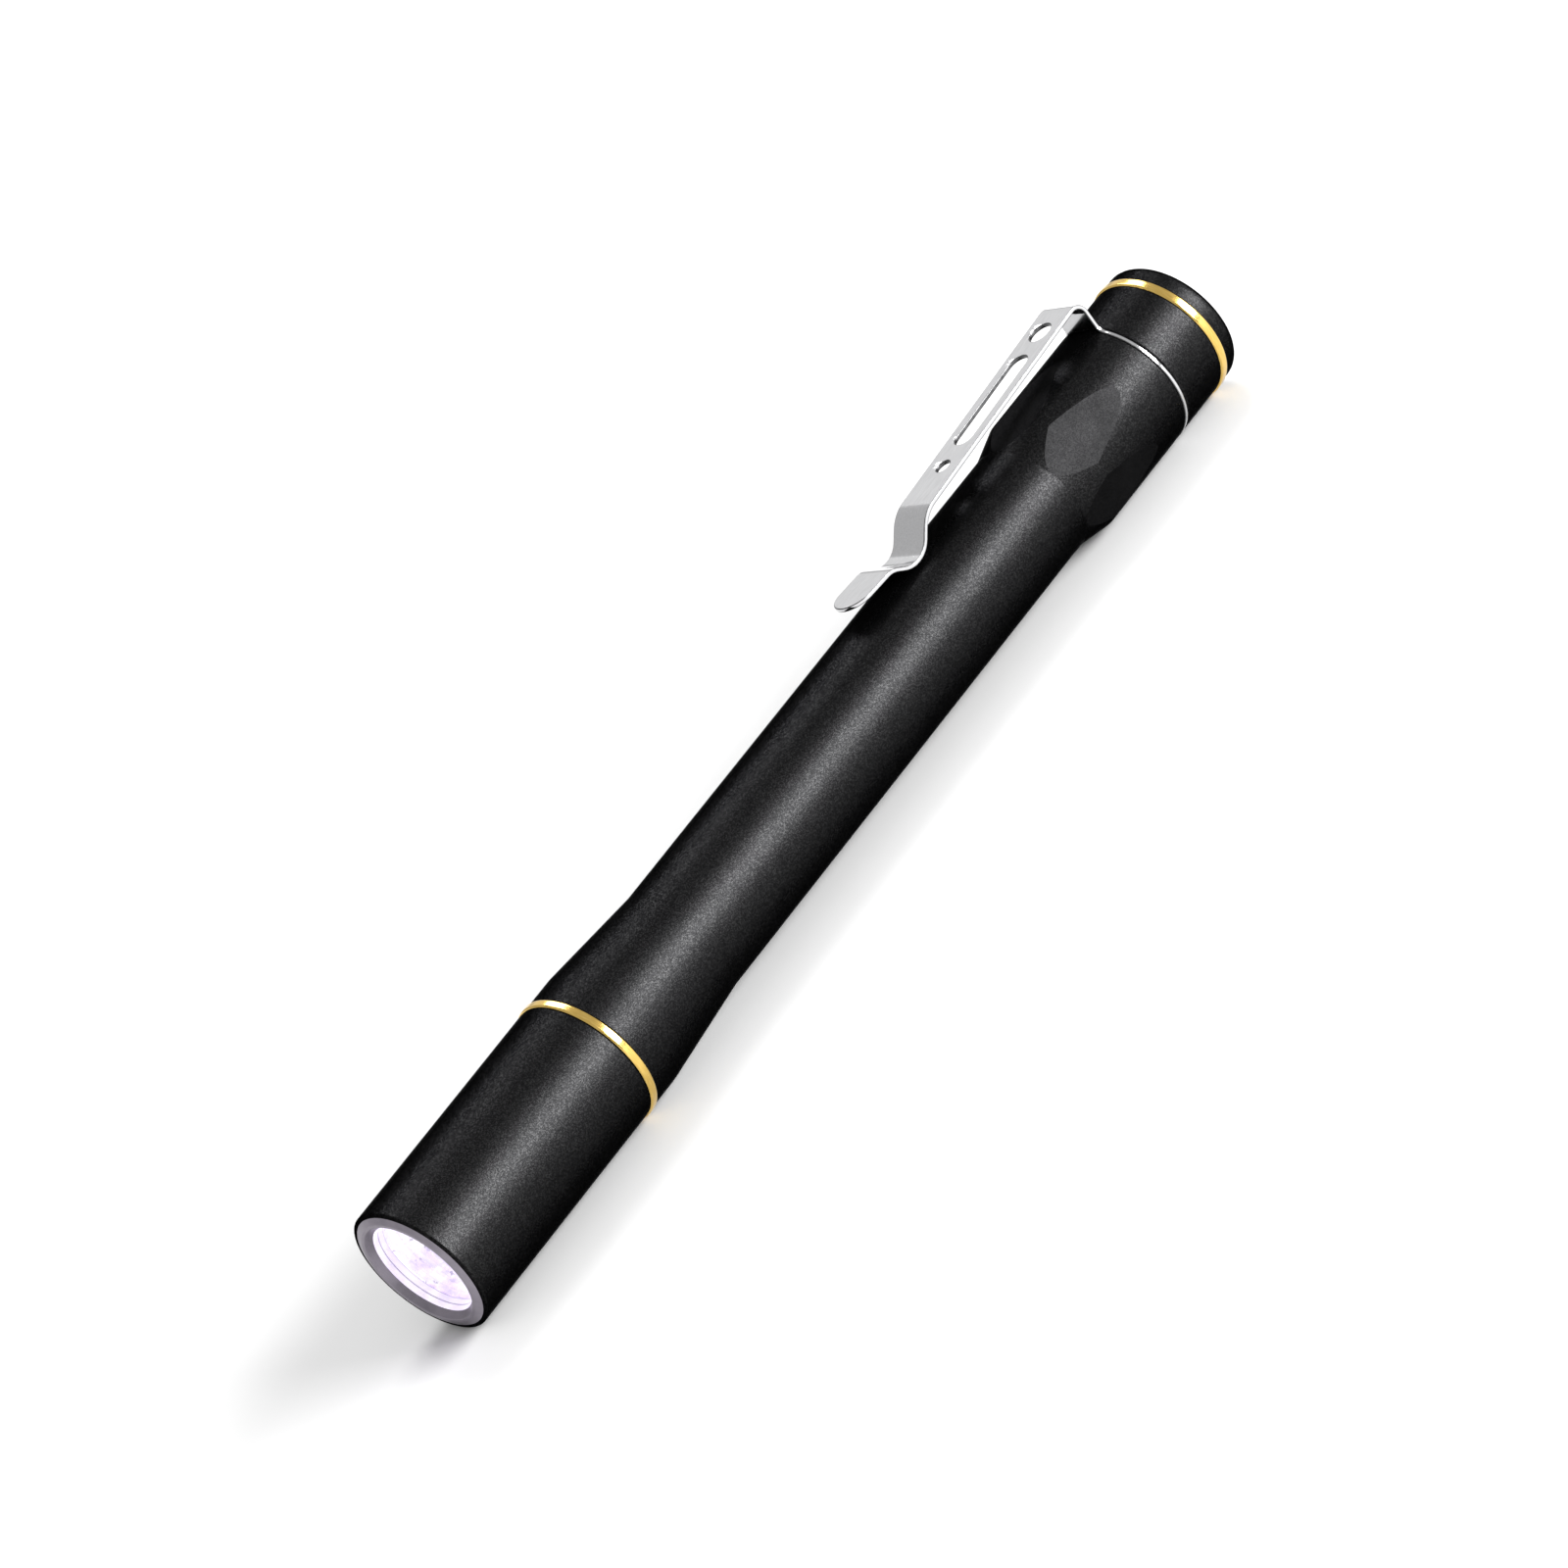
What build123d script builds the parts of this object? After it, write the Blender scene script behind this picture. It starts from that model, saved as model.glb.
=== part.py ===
from build123d import *
from math import atan, cos, degrees, radians, sqrt
import os

# Ultraviolet penlight for checking banknotes.  All sizes are in millimetres.
#
# The pieces are drawn on the X axis: "station" is the distance from the head
# shell's front edge, growing towards the tail, and "radius" is measured from
# the pen's axis.
# The pocket clip stands in the +Z direction.  write() then moves every piece
# so that the origin lies under the middle of the pen, on the surface it rests on.

# Outer body
BODY_RADIUS = 7.3
WAIST_RADIUS = 6.33
TRIM_RADIUS = 7.46
HEAD_LENGTH = 26.15
FRONT_TRIM_END = 27.1
FRONT_SHOULDER = 30.55
FRONT_TAPER_END = 42.1
REAR_TAPER_START = 102.5
REAR_TAPER_END = 106.4
TUBE_END = 119.0
CAP_START = 119.55
CAP_FRONT_ROUND = 0.25
REAR_TRIM_START = 125.6
REAR_TRIM_END = 126.65
END_RING_END = 128.8
BUTTON_END = 131.1
EDGE_BREAK = 0.15
TRIM_ROUND = 0.2
END_RING_ROUND = 0.9
END_RING_MOUTH_ROUND = 0.2

# Milled flats round the rear shoulder of the tube
FLAT_COUNT = 6
FLAT_POINT = 114.0
FLAT_START = 102.45
FLAT_SLOPE = 4.7
FLAT_CUT_WIDTH = 12
FLAT_CUT_HEIGHT = 4

# Battery bay: two cells in line, 10.5 mm across and 44.5 mm long
CELL_RADIUS = 5.15
CELL_SLEEVE = 0.1
CELL_LENGTH = 44.5
CELL_NUB_RADIUS = 1.9
CELL_NUB_HEIGHT = 1.0
CELL_NUB_ROUND = 0.3
CELL_ROUND = 0.4
CELL_START = 24.0
CELLS_END = CELL_START + 2 * CELL_LENGTH
BAY_RADIUS = 5.35

# Joint between head and tube
HEAD_BORE = 6.5
NECK_START = 20.8
SEAL_WIRE = 0.35
SEAL_GROOVE_CLEARANCE = 0.05
HEAD_SEAL_STATION = 23.6

# Front edge of the head, bezel, lens and reflector
HEAD_FACE_RADIUS = 7.0
HEAD_CHAMFER_END = 0.12
BEZEL_THREAD = 6.85
BEZEL_FRONT = -0.28
BEZEL_CROWN_RADIUS = 6.2
BEZEL_END = 3.6
BEZEL_MOUTH = 5.87
BEZEL_LIP = 0.42
BEZEL_THROAT = 5.33
LENS_SEAT = 6.35
GASKET_INNER = 5.3
GASKET_END = 1.8
LENS_RADIUS = 6.3
LENS_END = 2.8
REFLECTOR_RIM = 5.9
REFLECTOR_FLANGE_END = 3.6
REFLECTOR_THROAT = 1.9
REFLECTOR_END = 11.9
REFLECTOR_WALL = 0.45

# Light source and driver
LED_SIZE = 3.45
LED_FACE = 12.6
LED_DOME_RADIUS = 1.4
LED_DOME_HEIGHT = 1.1
LED_DOME_BULGE = 0.72
LED_COLLAR_RADIUS = 3.0
LED_COLLAR_CLEARANCE = 0.1
LED_BOARD_START = 13.2
LED_BOARD_END = 14.7
LED_BOARD_RADIUS = 5.0
HOLDER_START = 12.9
HOLDER_FLOOR_END = 16.0
HOLDER_END = 20.5
HOLDER_WALL_INNER = 5.4
WIRE_RADIUS = 0.45
WIRE_OFFSET = 3.2
WIRE_CLEARANCE = 0.15
DRIVER_START = 18.9
DRIVER_END = 19.9
# Chips on the driver board: centre y, centre z, height, width, depth
DRIVER_CHIPS = (
    (1.2, 0.0, 1.5, 3.0, 3.6),
    (-2.6, 1.2, 1.2, 2.0, 1.25),
    (-2.6, -1.0, 1.2, 2.0, 1.25),
    (1.8, 3.4, 0.8, 1.6, 0.8),
    (1.8, -3.4, 0.8, 1.6, 0.8),
)

FRONT_SPRING_RADII = (2.4, 1.5)
FRONT_SPRING_WIRE = 0.25
CONTACT_SPRING_TURNS = 3

# Tail cap and switch
CAP_THREAD = 6.4
TUBE_THREAD = 6.45
NECK_END = 113.8
THREAD_RUNOUT = 0.3
CAP_BORE = 5.3
CAP_LIP_START = 124.2
CAP_LIP_END = 125.0
CAP_LIP_RADIUS = 4.7
SPIGOT_RADIUS = 6.6
SPIGOT_BORE = 5.6
SPIGOT_END = 127.5
TAIL_SEAL_STATION = 118.3
BUTTON_RADIUS = 4.3
BUTTON_CLEARANCE = 0.08
BUTTON_FLANGE_RADIUS = 5.52
BUTTON_FLANGE_START = 126.75
BUTTON_BOSS_START = 125.75
BUTTON_BOSS_RADIUS = 3.0
BUTTON_EDGE = 129.3
BUTTON_CROWN_RADIUS = 8.0
BUTTON_CROWN_ANGLE = 25
SWITCH_RADIUS = 5.25
SWITCH_START = 117.4
SWITCH_END = 123.4
SWITCH_BOARD_START = 116.4
SWITCH_SPRING_RADIUS = 1.3
SWITCH_SPRING_WIRE = 0.15
SWITCH_SPRING_TURNS = 4
BOOT_WALL = 0.5
BOOT_GAP = 0.1
BOOT_FOOT_RADIUS = 3.8
# Boot wall as (distance below its crown, radius), from foot to crown and back
BOOT_OUTSIDE = ((1.45, 4.4), (0.5, 3.9), (0.0, 3.0))
BOOT_INSIDE = ((0.0, 2.8), (0.4, 3.4))
PLUNGER_RADIUS = 1.8
PLUNGER_START = 120.8
PLUNGER_END = 125.05
PLUNGER_ROUND = 0.3
PLUNGER_HOLE = 1.88
PLUNGER_HOLE_START = 118.2
CONTACT_GAP = 0.05
RETAINER_START = 114.6
RETAINER_BORE = 4.3
RETAINER_SLOT_WIDTH = 1.0
RETAINER_SLOT_DEPTH = 0.6
REAR_SPRING_RADII = (2.2, 3.6)
REAR_SPRING_WIRE = 0.3

# Pocket clip: one strip of spring steel, drawn as its ring and its arm
CLIP_SHEET = 0.45
CLIP_WIDTH = 4.6
CLIP_RING_START = 119.05
CLIP_RING_BORE = 6.48
CLIP_ROOT_FILLET = 1.0
CLIP_SPLIT_HEIGHT = 8.3
CLIP_TOP = 10.68
CLIP_KNEE = (90.6, 9.28)
CLIP_FOOT = (86.9, 5.78)
CLIP_LIFT = (83.6, 8.2)
CLIP_TIP = (77.8, 8.55)
CLIP_BENDS = (1.3, 4.0, 3.0, 2.5)
CLIP_HOLE_STATION = 115.0
CLIP_HOLE_RADIUS = 1.25
CLIP_SLOT_START = 99.65
CLIP_SLOT_END = 111.85
CLIP_SLOT_WIDTH = 2.4
CLIP_DOT_STATION = 96.75
CLIP_DOT_RADIUS = 0.8

REST_PLACE = Location((-(BEZEL_FRONT + BUTTON_END) / 2, 0, TRIM_RADIUS))


# ---------------------------------------------------------------------------
# Shared shapes
# ---------------------------------------------------------------------------
def turned(outline, rounds=()):
    """Turn a closed outline of (station, radius) points about the pen's axis.

    rounds lists (corner, radius) pairs for the corners that are rounded first.
    """
    face = make_face(Polyline(*outline, close=True))
    for corner, radius in rounds:
        vertex = face.vertices().sort_by_distance(corner)[0]
        face = fillet(vertex, radius)
    return revolve(face, Axis.X)


def ring(start, end, inner, outer, rounded=0):
    outline = [(start, inner), (end, inner), (end, outer), (start, outer)]
    rounds = [(outline[2], rounded), (outline[3], rounded)] if rounded else []
    return turned(outline, rounds)


def disc(start, end, radius):
    return turned([(start, 0), (end, 0), (end, radius), (start, radius)])


def seal(station, outer_radius):
    """Round-section seal whose outside reaches outer_radius."""
    centre = outer_radius - SEAL_WIRE
    section = Plane.XY * Pos(station, centre) * Circle(SEAL_WIRE)
    return revolve(section, Axis.X)


def across(station, y, z, length, radius):
    """Round bar along X that starts at the given station."""
    plane = Plane(origin=(station, y, z), z_dir=(1, 0, 0))
    return extrude(plane * Circle(radius), length)


def coil(start, end, radii, turns, wire_radius):
    """Coil spring of round wire along the axis, between its two end radii."""
    start_radius, end_radius = radii
    height = end - start - 2 * wire_radius
    helix = Helix(
        pitch=height / turns,
        height=height,
        radius=start_radius,
        center=(start + wire_radius, 0, 0),
        direction=(1, 0, 0),
        cone_angle=degrees(atan((end_radius - start_radius) / height)),
    )
    section = Plane(origin=helix @ 0, z_dir=helix % 0) * Circle(wire_radius)
    return sweep(section, path=helix, is_frenet=True)


# ---------------------------------------------------------------------------
# Head
# ---------------------------------------------------------------------------
def head_shell():
    rear_corner = (HEAD_LENGTH, BODY_RADIUS)
    outline = [
        (0, BEZEL_THREAD),
        (BEZEL_END, BEZEL_THREAD),
        (BEZEL_END, HEAD_BORE),
        (HEAD_LENGTH, HEAD_BORE),
        rear_corner,
        (HEAD_CHAMFER_END, BODY_RADIUS),
        (0, HEAD_FACE_RADIUS),
    ]
    return turned(outline, [(rear_corner, EDGE_BREAK)])


def bezel_ring():
    """Crowned ring whose lip opens outwards in a cone, with the lens seated behind it."""
    crown = (BEZEL_FRONT, BEZEL_CROWN_RADIUS)
    outline = [
        (BEZEL_FRONT, BEZEL_MOUTH),
        (BEZEL_LIP, BEZEL_THROAT),
        (BEZEL_LIP, LENS_SEAT),
        (BEZEL_END, LENS_SEAT),
        (BEZEL_END, BEZEL_THREAD),
        (0, BEZEL_THREAD),
        crown,
    ]
    return turned(outline, [(crown, EDGE_BREAK)])


def lens_gasket():
    return ring(BEZEL_LIP, GASKET_END, GASKET_INNER, LENS_RADIUS)


def lens():
    return disc(GASKET_END, LENS_END, LENS_RADIUS)


def reflector_radius(station):
    """Parabolic bowl: radius squared falls evenly from the rim to the throat."""
    share = (station - LENS_END) / (REFLECTOR_END - LENS_END)
    return sqrt(REFLECTOR_RIM**2 + share * (REFLECTOR_THROAT**2 - REFLECTOR_RIM**2))


def reflector():
    steps = 12
    length = REFLECTOR_END - LENS_END
    stations = [LENS_END + length * step / steps for step in range(steps + 1)]
    bowl = [(station, reflector_radius(station)) for station in stations]
    back_stations = [station for station in reversed(stations) if station > REFLECTOR_FLANGE_END]
    back = [(station, reflector_radius(station) + REFLECTOR_WALL) for station in back_stations]
    inside = Spline(*bowl)
    outside = Spline(*back)
    throat = Line(bowl[-1], back[0])
    flange = Polyline(
        back[-1],
        (REFLECTOR_FLANGE_END, reflector_radius(REFLECTOR_FLANGE_END) + REFLECTOR_WALL),
        (REFLECTOR_FLANGE_END, LENS_RADIUS),
        (LENS_END, LENS_RADIUS),
        bowl[0],
    )
    return revolve(make_face([inside, throat, outside, flange]), Axis.X)


def led_emitter():
    base = Pos(LED_FACE, 0, 0) * Box(
        LED_BOARD_START - LED_FACE, LED_SIZE, LED_SIZE, align=(Align.MIN, Align.CENTER, Align.CENTER)
    )
    tip = (LED_FACE - LED_DOME_HEIGHT, 0)
    shoulder = (LED_FACE, LED_DOME_RADIUS)
    height = LED_DOME_BULGE * LED_DOME_HEIGHT
    bulge = (LED_FACE - height, LED_DOME_BULGE * LED_DOME_RADIUS)
    dome_edges = [ThreePointArc(tip, bulge, shoulder), Polyline(shoulder, (LED_FACE, 0), tip)]
    return base + revolve(make_face(dome_edges), Axis.X)


def led_centring_ring():
    collar = disc(REFLECTOR_END, LED_BOARD_START, LED_COLLAR_RADIUS)
    opening = LED_SIZE + LED_COLLAR_CLEARANCE
    window = Box(LED_BOARD_START, opening, opening)
    return collar - Pos(LED_BOARD_START, 0, 0) * window


def led_board():
    return disc(LED_BOARD_START, LED_BOARD_END, LED_BOARD_RADIUS)


def wire_places():
    return [(0, WIRE_OFFSET), (0, -WIRE_OFFSET)]


def led_holder():
    outline = [
        (LED_BOARD_END, 0),
        (LED_BOARD_END, LED_BOARD_RADIUS),
        (HOLDER_START, LED_BOARD_RADIUS),
        (HOLDER_START, HEAD_BORE),
        (HOLDER_END, HEAD_BORE),
        (HOLDER_END, HOLDER_WALL_INNER),
        (HOLDER_FLOOR_END, HOLDER_WALL_INNER),
        (HOLDER_FLOOR_END, 0),
    ]
    holder = turned(outline)
    for y, z in wire_places():
        floor = HOLDER_FLOOR_END - LED_BOARD_END
        holder -= across(LED_BOARD_END, y, z, floor, WIRE_RADIUS + WIRE_CLEARANCE)
    return holder


def led_wires():
    length = DRIVER_START - LED_BOARD_END
    wires = [across(LED_BOARD_END, y, z, length, WIRE_RADIUS) for y, z in wire_places()]
    return Compound(wires)


def driver_board():
    return disc(DRIVER_START, DRIVER_END, HOLDER_WALL_INNER)


def driver_components():
    """Chips on the side of the driver board that faces the light source."""
    chips = []
    for y, z, height, width, depth in DRIVER_CHIPS:
        chip = Box(height, width, depth, align=(Align.MAX, Align.CENTER, Align.CENTER))
        chips.append(Pos(DRIVER_START, y, z) * chip)
    return Compound(chips)


def front_contact_spring():
    return coil(DRIVER_END, CELL_START, FRONT_SPRING_RADII, CONTACT_SPRING_TURNS, FRONT_SPRING_WIRE)


def front_trim_ring():
    return ring(HEAD_LENGTH, FRONT_TRIM_END, HEAD_BORE, TRIM_RADIUS, TRIM_ROUND)


def head_seal():
    return seal(HEAD_SEAL_STATION, HEAD_BORE)


# ---------------------------------------------------------------------------
# Tube and cells
# ---------------------------------------------------------------------------
def seal_groove(station, outer_radius):
    half_width = SEAL_WIRE + SEAL_GROOVE_CLEARANCE
    floor = outer_radius - 2 * SEAL_WIRE
    return [
        (station - half_width, outer_radius),
        (station - half_width, floor),
        (station + half_width, floor),
        (station + half_width, outer_radius),
    ]


def flat_cutter():
    """Block whose underside is the plane of one milled flat."""
    length = (FLAT_POINT - FLAT_START) / cos(radians(FLAT_SLOPE))
    align = (Align.MAX, Align.CENTER, Align.MIN)
    block = Box(length, FLAT_CUT_WIDTH, FLAT_CUT_HEIGHT, align=align)
    return Pos(FLAT_POINT, 0, BODY_RADIUS) * Rot(0, -FLAT_SLOPE, 0) * block


def battery_tube():
    outline = [
        (NECK_START, BAY_RADIUS),
        (NECK_START, HEAD_BORE),
        *seal_groove(HEAD_SEAL_STATION, HEAD_BORE),
        (FRONT_TRIM_END, HEAD_BORE),
        (FRONT_TRIM_END, BODY_RADIUS),
        (FRONT_SHOULDER, BODY_RADIUS),
        (FRONT_TAPER_END, WAIST_RADIUS),
        (REAR_TAPER_START, WAIST_RADIUS),
        (REAR_TAPER_END, BODY_RADIUS),
        (TUBE_END, BODY_RADIUS),
        (TUBE_END, TUBE_THREAD),
        (NECK_END - THREAD_RUNOUT, TUBE_THREAD),
        (NECK_END - THREAD_RUNOUT, BAY_RADIUS),
    ]
    front_edge = (FRONT_TRIM_END, BODY_RADIUS)
    rear_edge = (TUBE_END, BODY_RADIUS)
    tube = turned(outline, [(front_edge, EDGE_BREAK), (rear_edge, EDGE_BREAK)])
    for index in range(FLAT_COUNT):
        tube -= Rot(index * 360 / FLAT_COUNT, 0, 0) * flat_cutter()
    return tube


def cell(start):
    """Cell can with its raised positive button towards the lens."""
    can_start = start + CELL_NUB_HEIGHT
    end = start + CELL_LENGTH
    outline = [
        (start, 0),
        (start, CELL_NUB_RADIUS),
        (can_start, CELL_NUB_RADIUS),
        (can_start, CELL_RADIUS),
        (end, CELL_RADIUS),
        (end, 0),
    ]
    nub, front, rear = outline[1], outline[3], outline[4]
    return turned(outline, [(nub, CELL_NUB_ROUND), (front, CELL_ROUND), (rear, CELL_ROUND)])


def cell_sleeve(start):
    can_start = start + CELL_NUB_HEIGHT + CELL_ROUND
    end = start + CELL_LENGTH - CELL_ROUND
    return ring(can_start, end, CELL_RADIUS, CELL_RADIUS + CELL_SLEEVE)


def front_cell():
    return cell(CELL_START)


def front_cell_sleeve():
    return cell_sleeve(CELL_START)


def rear_cell():
    return cell(CELL_START + CELL_LENGTH)


def rear_cell_sleeve():
    return cell_sleeve(CELL_START + CELL_LENGTH)


# ---------------------------------------------------------------------------
# Pocket clip
# ---------------------------------------------------------------------------
def clip_ring():
    """Ring round the cap's neck, with the root of the strip standing on it."""
    half = CLIP_WIDTH / 2
    root = Rectangle(CLIP_WIDTH, CLIP_SPLIT_HEIGHT, align=(Align.CENTER, Align.MIN))
    blank = Circle(BODY_RADIUS) + root
    shoulder = sqrt(BODY_RADIUS**2 - half**2)
    for side in (-half, half):
        corner = blank.vertices().sort_by_distance((side, shoulder))[0]
        blank = fillet(corner, CLIP_ROOT_FILLET)
    blank -= Circle(CLIP_RING_BORE)
    across_pen = Plane(origin=(CLIP_RING_START, 0, 0), x_dir=(0, 1, 0), z_dir=(1, 0, 0))
    return extrude(across_pen * blank, CLIP_SHEET)


def clip_strip():
    """Bent strip from the root over the top bend to the lifted tip."""
    middle = CLIP_RING_START + CLIP_SHEET / 2
    path = FilletPolyline(
        (middle, CLIP_SPLIT_HEIGHT),
        (middle, CLIP_TOP),
        CLIP_KNEE,
        CLIP_FOOT,
        CLIP_LIFT,
        CLIP_TIP,
        radius=CLIP_BENDS,
    )
    side = trace(path, CLIP_SHEET)
    return extrude(Plane.XZ * side, CLIP_WIDTH / 2, both=True)


def clip_outline():
    """Plan of the strip: parallel sides and a round tip."""
    half = CLIP_WIDTH / 2
    sides = Rectangle(TUBE_END - CLIP_TIP[0], CLIP_WIDTH, align=(Align.MIN, Align.CENTER))
    return Pos(CLIP_TIP[0] + half, 0) * (sides + Circle(half))


def clip_openings():
    hole = Pos(CLIP_HOLE_STATION, 0) * Circle(CLIP_HOLE_RADIUS)
    dot = Pos(CLIP_DOT_STATION, 0) * Circle(CLIP_DOT_RADIUS)
    slot_length = CLIP_SLOT_END - CLIP_SLOT_START
    slot_middle = (CLIP_SLOT_END + CLIP_SLOT_START) / 2
    slot = Pos(slot_middle, 0) * SlotOverall(slot_length, CLIP_SLOT_WIDTH)
    return hole + dot + slot


def clip_arm():
    plan = clip_outline() - clip_openings()
    return clip_strip() & extrude(plan, 2 * CLIP_TOP)


# ---------------------------------------------------------------------------
# Tail
# ---------------------------------------------------------------------------
def tail_cap():
    outline = [
        (NECK_END, CAP_BORE),
        (NECK_END, CAP_THREAD),
        *seal_groove(TAIL_SEAL_STATION, CAP_THREAD),
        (CAP_START, CAP_THREAD),
        (CAP_START, BODY_RADIUS),
        (REAR_TRIM_START, BODY_RADIUS),
        (REAR_TRIM_START, SPIGOT_RADIUS),
        (SPIGOT_END, SPIGOT_RADIUS),
        (SPIGOT_END, SPIGOT_BORE),
        (CAP_LIP_END, SPIGOT_BORE),
        (CAP_LIP_END, CAP_LIP_RADIUS),
        (CAP_LIP_START, CAP_LIP_RADIUS),
        (CAP_LIP_START, CAP_BORE),
    ]
    return turned(outline, [((CAP_START, BODY_RADIUS), CAP_FRONT_ROUND)])


def tail_seal():
    return seal(TAIL_SEAL_STATION, CAP_THREAD)


def rear_trim_ring():
    return ring(REAR_TRIM_START, REAR_TRIM_END, SPIGOT_RADIUS, TRIM_RADIUS, TRIM_ROUND)


def tail_end_ring():
    rear_corner = (END_RING_END, BODY_RADIUS)
    mouth_corner = (END_RING_END, BUTTON_RADIUS + BUTTON_CLEARANCE)
    outline = [
        (REAR_TRIM_END, SPIGOT_RADIUS),
        (REAR_TRIM_END, BODY_RADIUS),
        rear_corner,
        mouth_corner,
        (SPIGOT_END, BUTTON_RADIUS + BUTTON_CLEARANCE),
        (SPIGOT_END, SPIGOT_RADIUS),
    ]
    return turned(outline, [(rear_corner, END_RING_ROUND), (mouth_corner, END_RING_MOUTH_ROUND)])


def tail_button():
    flange_end = SPIGOT_END - BUTTON_CLEARANCE
    body = Polyline(
        (BUTTON_END, 0),
        (BUTTON_BOSS_START, 0),
        (BUTTON_BOSS_START, BUTTON_BOSS_RADIUS),
        (BUTTON_FLANGE_START, BUTTON_BOSS_RADIUS),
        (BUTTON_FLANGE_START, BUTTON_FLANGE_RADIUS),
        (flange_end, BUTTON_FLANGE_RADIUS),
        (flange_end, BUTTON_RADIUS),
        (BUTTON_EDGE, BUTTON_RADIUS),
    )
    crown = JernArc((BUTTON_END, 0), (0, 1), BUTTON_CROWN_RADIUS, BUTTON_CROWN_ANGLE)
    corner = Spline(
        (crown @ 1),
        (BUTTON_EDGE, BUTTON_RADIUS),
        tangents=((crown % 1), (-1, 0)),
    )
    return revolve(make_face([body, corner, crown]), Axis.X)


def switch_boot():
    """Rubber diaphragm clamped behind the cap's lip, domed towards the button."""
    crown = BUTTON_BOSS_START - BOOT_GAP
    inside = crown - BOOT_WALL
    outline = [
        (SWITCH_END, SWITCH_RADIUS),
        (CAP_LIP_START, SWITCH_RADIUS),
        *[(crown - drop, radius) for drop, radius in BOOT_OUTSIDE],
        (crown, 0),
        (inside, 0),
        *[(inside - drop, radius) for drop, radius in BOOT_INSIDE],
        (SWITCH_END, BOOT_FOOT_RADIUS),
    ]
    return turned(outline)


def switch_body():
    housing = disc(SWITCH_START, SWITCH_END, SWITCH_RADIUS)
    return housing - disc(PLUNGER_HOLE_START, SWITCH_END, PLUNGER_HOLE)


def switch_plunger():
    crown = (PLUNGER_END, PLUNGER_RADIUS)
    outline = [(PLUNGER_START, 0), (PLUNGER_END, 0), crown, (PLUNGER_START, PLUNGER_RADIUS)]
    return turned(outline, [(crown, PLUNGER_ROUND)])


def switch_spring():
    radii = (SWITCH_SPRING_RADIUS, SWITCH_SPRING_RADIUS)
    return coil(PLUNGER_HOLE_START, PLUNGER_START, radii, SWITCH_SPRING_TURNS, SWITCH_SPRING_WIRE)


def switch_board():
    return disc(SWITCH_BOARD_START, SWITCH_START, SWITCH_RADIUS)


def switch_retainer():
    """Threaded ring with two slots for a pin spanner."""
    body = ring(RETAINER_START, SWITCH_BOARD_START, RETAINER_BORE, CAP_BORE)
    slot = Box(2 * RETAINER_SLOT_DEPTH, 2 * BODY_RADIUS, RETAINER_SLOT_WIDTH)
    return body - Pos(RETAINER_START, 0, 0) * slot


def rear_contact_spring():
    start = CELLS_END + CONTACT_GAP
    return coil(start, SWITCH_BOARD_START, REAR_SPRING_RADII, CONTACT_SPRING_TURNS, REAR_SPRING_WIRE)


# ---------------------------------------------------------------------------
# One STEP file per piece
# ---------------------------------------------------------------------------
PIECES = [
    head_shell,
    bezel_ring,
    lens_gasket,
    lens,
    reflector,
    led_emitter,
    led_centring_ring,
    led_board,
    led_holder,
    led_wires,
    driver_board,
    driver_components,
    front_contact_spring,
    front_trim_ring,
    head_seal,
    battery_tube,
    front_cell,
    front_cell_sleeve,
    rear_cell,
    rear_cell_sleeve,
    clip_ring,
    clip_arm,
    tail_cap,
    tail_seal,
    rear_trim_ring,
    tail_end_ring,
    tail_button,
    switch_boot,
    switch_body,
    switch_plunger,
    switch_spring,
    switch_board,
    switch_retainer,
    rear_contact_spring,
]


def write(piece):
    shape = piece().moved(REST_PLACE)
    export_step(shape, f"parts/{piece.__name__}.step")


os.makedirs("parts", exist_ok=True)
for piece in PIECES:
    write(piece)
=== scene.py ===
from math import atan2, ceil, cos, degrees, hypot, pi, radians, sin, sqrt, tan

import bmesh
import bpy
from mathutils import Matrix, Quaternion, Vector


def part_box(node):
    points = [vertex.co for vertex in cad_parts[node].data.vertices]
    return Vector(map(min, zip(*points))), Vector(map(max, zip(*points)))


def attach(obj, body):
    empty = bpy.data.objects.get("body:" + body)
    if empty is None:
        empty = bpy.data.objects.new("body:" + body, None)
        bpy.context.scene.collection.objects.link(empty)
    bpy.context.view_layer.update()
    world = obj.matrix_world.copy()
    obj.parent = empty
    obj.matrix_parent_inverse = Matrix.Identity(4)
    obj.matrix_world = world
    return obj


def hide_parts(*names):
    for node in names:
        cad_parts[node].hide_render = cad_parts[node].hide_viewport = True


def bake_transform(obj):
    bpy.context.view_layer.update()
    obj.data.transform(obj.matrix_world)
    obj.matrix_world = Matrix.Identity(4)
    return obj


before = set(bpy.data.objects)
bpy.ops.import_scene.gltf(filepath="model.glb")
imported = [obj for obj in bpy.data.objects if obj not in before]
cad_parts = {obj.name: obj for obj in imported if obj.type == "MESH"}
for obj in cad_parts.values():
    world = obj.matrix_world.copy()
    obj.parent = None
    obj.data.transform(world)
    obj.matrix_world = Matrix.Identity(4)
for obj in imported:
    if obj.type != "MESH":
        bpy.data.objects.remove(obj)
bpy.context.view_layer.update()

# Looks of an ultraviolet penlight.  All lengths are in metres.  The pen lies
# along X with its lens at the -X end, and its clip stands in +Z.

MM = 0.001
ROUND_STEPS = 6
SUPPORT_REACH = 1.25
LATHE_STEPS = 224
SMALLEST_RADIUS = 1e-7


# ---------------------------------------------------------------------------
# Measures read from the frame
# ---------------------------------------------------------------------------
def span(node):
    """Start, end and outer radius of a turned CAD node on the pen's axis."""
    low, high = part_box(node)
    return low.x, high.x, (high.y - low.y) / 2


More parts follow.
